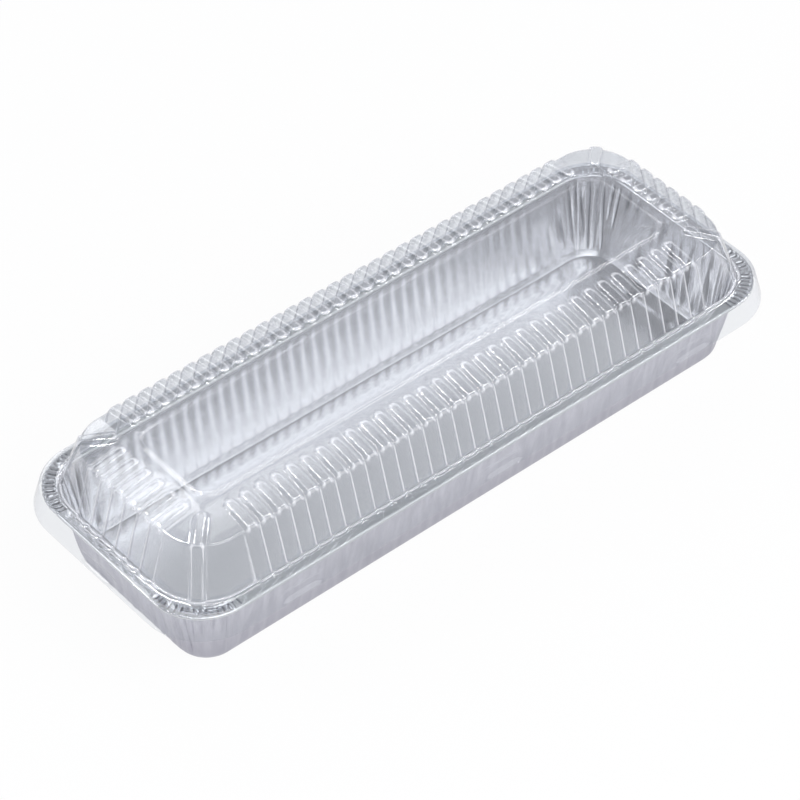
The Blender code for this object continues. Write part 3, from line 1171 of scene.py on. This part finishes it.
    def add_wall(self) -> None:
        """Adds the rings of the rounded edge, the wall, the rounding at its foot and the bead."""
        slope = math.atan(self.shoulder_curve * self.shoulder_drop / self.shoulder)
        lean = math.atan2(self.dome_lean, self.edge.height - self.seat)
        turn = math.pi / 2 - lean - slope
        radius = self.edge_round / math.tan(turn / 2) * self.edge_tightness
        start = self.on_shoulder(self.shoulder - self.edge_round)
        for share in np.linspace(0.0, 1.0, self.edge_rings)[1:]:
            angle = slope + share * turn
            out = radius * (math.sin(angle) - math.sin(slope))
            down = radius * (math.cos(slope) - math.cos(angle))
            bend = start.grown(out, start.height - down)
            relief = self.relief(bend, self.rib_width, float(share))
            self.form.add(bend, relief * math.sin(angle), relief * math.cos(angle))
        tangent = self.foot_round * math.tan((math.pi / 2 - lean) / 2)
        low = self.foot.grown(-tangent * math.sin(lean), self.seat + tangent * math.cos(lean))
        for share in self.wall_shares:
            part = bend.toward(low, share)
            relief = self.relief(part, self.rib_width, 1.0)
            self.form.add(part, relief * math.cos(lean), relief * math.sin(lean))
        centre = self.foot.grown(tangent, self.seat + self.foot_round)
        for angle in np.linspace(math.pi / 2 - lean, 0.0, self.foot_rings)[1:]:
            self.form.add(centre.bent(-self.foot_round, -self.foot_round, angle), relief)
        for share in self.foot_bead_shares:
            up = self.foot_bead_height * math.sin(share * math.pi)
            self.form.add(self.foot.grown(tangent + share * self.foot_bead, self.seat + up),
                          relief)

    def add_skirt(self) -> None:
        """Adds the rings of the flange, the fold and the flared skirt with its dents."""
        flare = self.skirt_half_length - self.sheet - self.fold.half_length
        lean = math.atan2(flare, self.skirt_depth)
        steepest = math.pi / 2 - lean
        tangent = self.fold_round * math.tan(steepest / 2)
        plain_from = self.wall_rib_height + self.foot_bead + self.foot_bead_margin
        for distance in np.linspace(plain_from, self.flange - tangent, self.flange_rings):
            self.form.add_plain(self.foot.grown(float(distance), self.seat))
        centre = self.fold.grown(-tangent, self.seat - self.fold_round)
        for angle in np.linspace(0.0, steepest, self.fold_rings)[1:]:
            self.form.add_plain(centre.bent(self.fold_round, self.fold_round, angle))
        along = self.dent_windows()
        for drop in np.concatenate([[self.skirt_first_ring], np.linspace(*self.dent_rings),
                                    [self.skirt_depth]]):
            below = (drop - self.dent_top) / self.dent_height
            window = (smooth((below + self.dent_overlap) / self.dent_fade)
                      * smooth((1 + self.dent_overlap - below) / self.dent_fade))
            out = flare * drop / self.skirt_depth
            self.form.add_plain(self.fold.grown(float(out), self.seat - float(drop)),
                                -self.dent_depth * along * window)

    def dent_windows(self) -> np.ndarray:
        """Says how far each column lies in a snap dent.

        Returns:
            The shares, from 0 outside to 1 well inside.
        """
        half = self.dent_length / 2
        far = self.fold.half_length - self.fold.corner - self.dent_from_corner - half
        window = np.zeros(len(self.loop.place))
        place = self.loop.place
        for middle in (0.0, far):
            inside = smooth((half - np.abs(place - middle)) / self.dent_ease)
            chosen = self.loop.on(Side.LONG) if middle else ~self.loop.on(Side.CORNER)
            window[chosen] = np.maximum(window[chosen], inside[chosen])
        return window


@dataclass(frozen=True)
class SoftLight:
    """A flat lamp that faces the object, set by the brightness that it shows.

    One that is for the lid alone puts glints on the clear sheet and leaves the foil as it is.
    """

    name: str
    direction: tuple[float, float, float]
    along: tuple[float, float, float]
    distance: float
    width: float
    length: float
    radiance: float
    lid_only: bool = False


@dataclass(frozen=True)
class StudioFloor:
    """A matt white studio floor of painted board, which takes a soft shadow and no gloss."""

    colour: str = "FAFAFB"
    roughness: float = 0.9
    gloss: float = 0.2
    white_share: float = 0.94

    def material(self) -> bpy.types.Material:
        """Builds the floor's shader.

        Returns:
            The material.
        """
        material, add = blank_material("white_painted_board")
        board = add("ShaderNodeBsdfPrincipled",
                    {"Base Color": linear(self.colour), "Roughness": self.roughness,
                     "Specular IOR Level": self.gloss})
        # The board is lit so well that it is close to white for the eye and in a mirror.
        white = add("ShaderNodeEmission", {"Strength": 1.0})
        path = add("ShaderNodeLightPath")
        clear = add("ShaderNodeMath", {"operation": "MAXIMUM"},
                    {0: path.outputs["Is Camera Ray"], 1: path.outputs["Is Transmission Ray"]})
        shown = add("ShaderNodeMath", {"operation": "MAXIMUM"},
                    {0: clear, 1: path.outputs["Is Glossy Ray"]})
        share = add("ShaderNodeMath", {"operation": "MULTIPLY", 1: self.white_share}, {0: shown})
        seen = add("ShaderNodeMixShader", links={0: share, 1: board, 2: white})
        add("ShaderNodeOutputMaterial", links={"Surface": seen})
        return material


@dataclass
class Studio:
    """The floor, the soft light and the camera at the photograph's angle."""

    azimuth: float = -40.43
    elevation: float = 43.79
    target: tuple[float, float, float] = (-12.0 * MM, -8.7 * MM, 40.0 * MM)
    distance: float = 1.4331
    lens: float = 158.4
    floor_size: float = 12.0
    room_colour: str = "EBEDF3"
    room_level: float = 0.42

    def camera(self) -> None:
        """Sets up the camera at the photograph's angle."""
        data = bpy.data.cameras.new("photo camera")
        data.lens = self.lens
        data.sensor_width = 36.0
        camera = bpy.data.objects.new("photo camera", data)
        turn = math.radians(self.azimuth)
        tilt = math.radians(self.elevation)
        back = Vector((math.sin(turn) * math.cos(tilt), -math.cos(turn) * math.cos(tilt),
                       math.sin(tilt)))
        camera.location = Vector(self.target) + back * self.distance
        camera.rotation_mode = "QUATERNION"
        camera.rotation_quaternion = (-back).to_track_quat("-Z", "Y")
        bpy.context.scene.collection.objects.link(camera)
        bpy.context.scene.camera = camera

    def floor(self, finish: StudioFloor) -> bpy.types.Object:
        """Lays the floor that the tray stands on.

        Args:
            finish: The floor's finish.

        Returns:
            The floor.
        """
        half = self.floor_size / 2
        data = bpy.data.meshes.new("studio_floor")
        data.from_pydata([(-half, -half, 0.0), (half, -half, 0.0), (half, half, 0.0),
                          (-half, half, 0.0)], [], [(0, 1, 2, 3)])
        data.materials.append(finish.material())
        floor = bpy.data.objects.new("studio_floor", data)
        floor.location.z = -0.2 * MM
        bpy.context.scene.collection.objects.link(floor)
        return floor

    def world(self) -> None:
        """Fills the room with plain, cool and even light."""
        world = bpy.data.worlds.new("soft studio")
        world.use_nodes = True
        tree = world.node_tree
        tree.nodes.clear()
        room = add_node(tree, "ShaderNodeBackground",
                        {"Color": linear(self.room_colour), "Strength": self.room_level})
        add_node(tree, "ShaderNodeOutputWorld", links={"Surface": room.outputs[0]})
        bpy.context.scene.world = world

    def light(self, lamp: SoftLight, lid: bpy.types.Object) -> bpy.types.Object:
        """Hangs a lamp.

        Args:
            lamp: Its place, size and brightness.
            lid: The piece that the lamps for the lid alone fall on.

        Returns:
            The lamp.
        """
        data = bpy.data.lights.new(lamp.name, "AREA")
        data.shape = "RECTANGLE"
        data.size = lamp.width
        data.size_y = lamp.length
        data.energy = lamp.radiance * math.pi * lamp.width * lamp.length
        light = bpy.data.objects.new(lamp.name, data)
        toward = Vector(lamp.direction).normalized()
        across = Vector(lamp.along).cross(toward).normalized()
        turn = Matrix((across, toward.cross(across), toward)).transposed()
        light.matrix_world = Matrix.LocRotScale(Vector(self.target) + toward * lamp.distance,
                                                turn, None)
        if lamp.lid_only:
            lit = bpy.data.collections.new(f"lit by {lamp.name}")
            lit.objects.link(lid)
            light.light_linking.receiver_collection = lit
        bpy.context.scene.collection.objects.link(light)
        return light


LAMPS = (
    SoftLight("front softbox", (0.14, -0.776, 0.616), (0, 0, 1), 1.8, 3.4, 2.0, 1.8),
    SoftLight("left front fill", (-0.68, -0.50, 0.50), (0, 0, 1), 1.8, 0.8, 0.8, 1.7),
    SoftLight("right back fill", (0.47, 0.56, 0.68), (0, 0, 1), 1.8, 1.5, 1.2, 0.38),
    SoftLight("left back fill", (-0.66, 0.55, 0.50), (0, 0, 1), 1.8, 0.8, 0.8, 2.2),
    SoftLight("back softbox", (0.16, 0.85, 0.49), (0, 0, 1), 1.8, 0.6, 0.5, 3.2),
    SoftLight("top softbox", (0.24, 0.35, 0.905), (0, 1, 0), 1.6, 0.64, 0.64, 1.0, True),
    SoftLight("top softbox core", (0.24, 0.37, 0.90), (0, 1, 0), 1.5, 0.40, 0.44, 1.0, True),
    SoftLight("overhead strip", (-0.13, 0.36, 0.925), (0, 1, 0), 1.6, 0.16, 0.76, 45.0, True),
    SoftLight("left end strip", (-0.15, 0.57, 0.80), (1, 0, 0), 1.6, 0.12, 1.60, 3.2, True),
    SoftLight("right strip", (0.64, 0.01, 0.77), (1, 0, 0), 1.6, 0.16, 0.70, 22.0, True),
    SoftLight("top strip", (0.21, -0.04, 0.98), (1, 0, 0), 1.6, 0.16, 0.68, 16.0, True),
)


def main() -> None:
    """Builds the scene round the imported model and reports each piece."""
    logging.basicConfig(level=logging.INFO, format="%(name)s: %(message)s")
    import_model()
    _, tray_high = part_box("foil_tray")
    _, lid_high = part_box("clear_lid")

    tray = FoilTray(tray_high.x, tray_high.y, tray_high.z)
    piece = tray.dress(PressedFoil(), MattFoilSide())
    LOG.info("%s: %d points", piece.name, len(piece.data.vertices))
    lid = ClearLid(tray_high.x, tray_high.y, tray_high.z + SEAT_GAP, lid_high.x)
    dome = lid.dress(FormedClearSheet())
    LOG.info("%s: %d points", dome.name, len(dome.data.vertices))

    studio = Studio()
    studio.camera()
    studio.world()
    LOG.info("%s laid", studio.floor(StudioFloor()).name)
    for lamp in LAMPS:
        LOG.info("%s hung", studio.light(lamp, dome).name)

    scene = bpy.context.scene
    scene.view_settings.view_transform = "Standard"


if __name__ == "__main__":
    main()
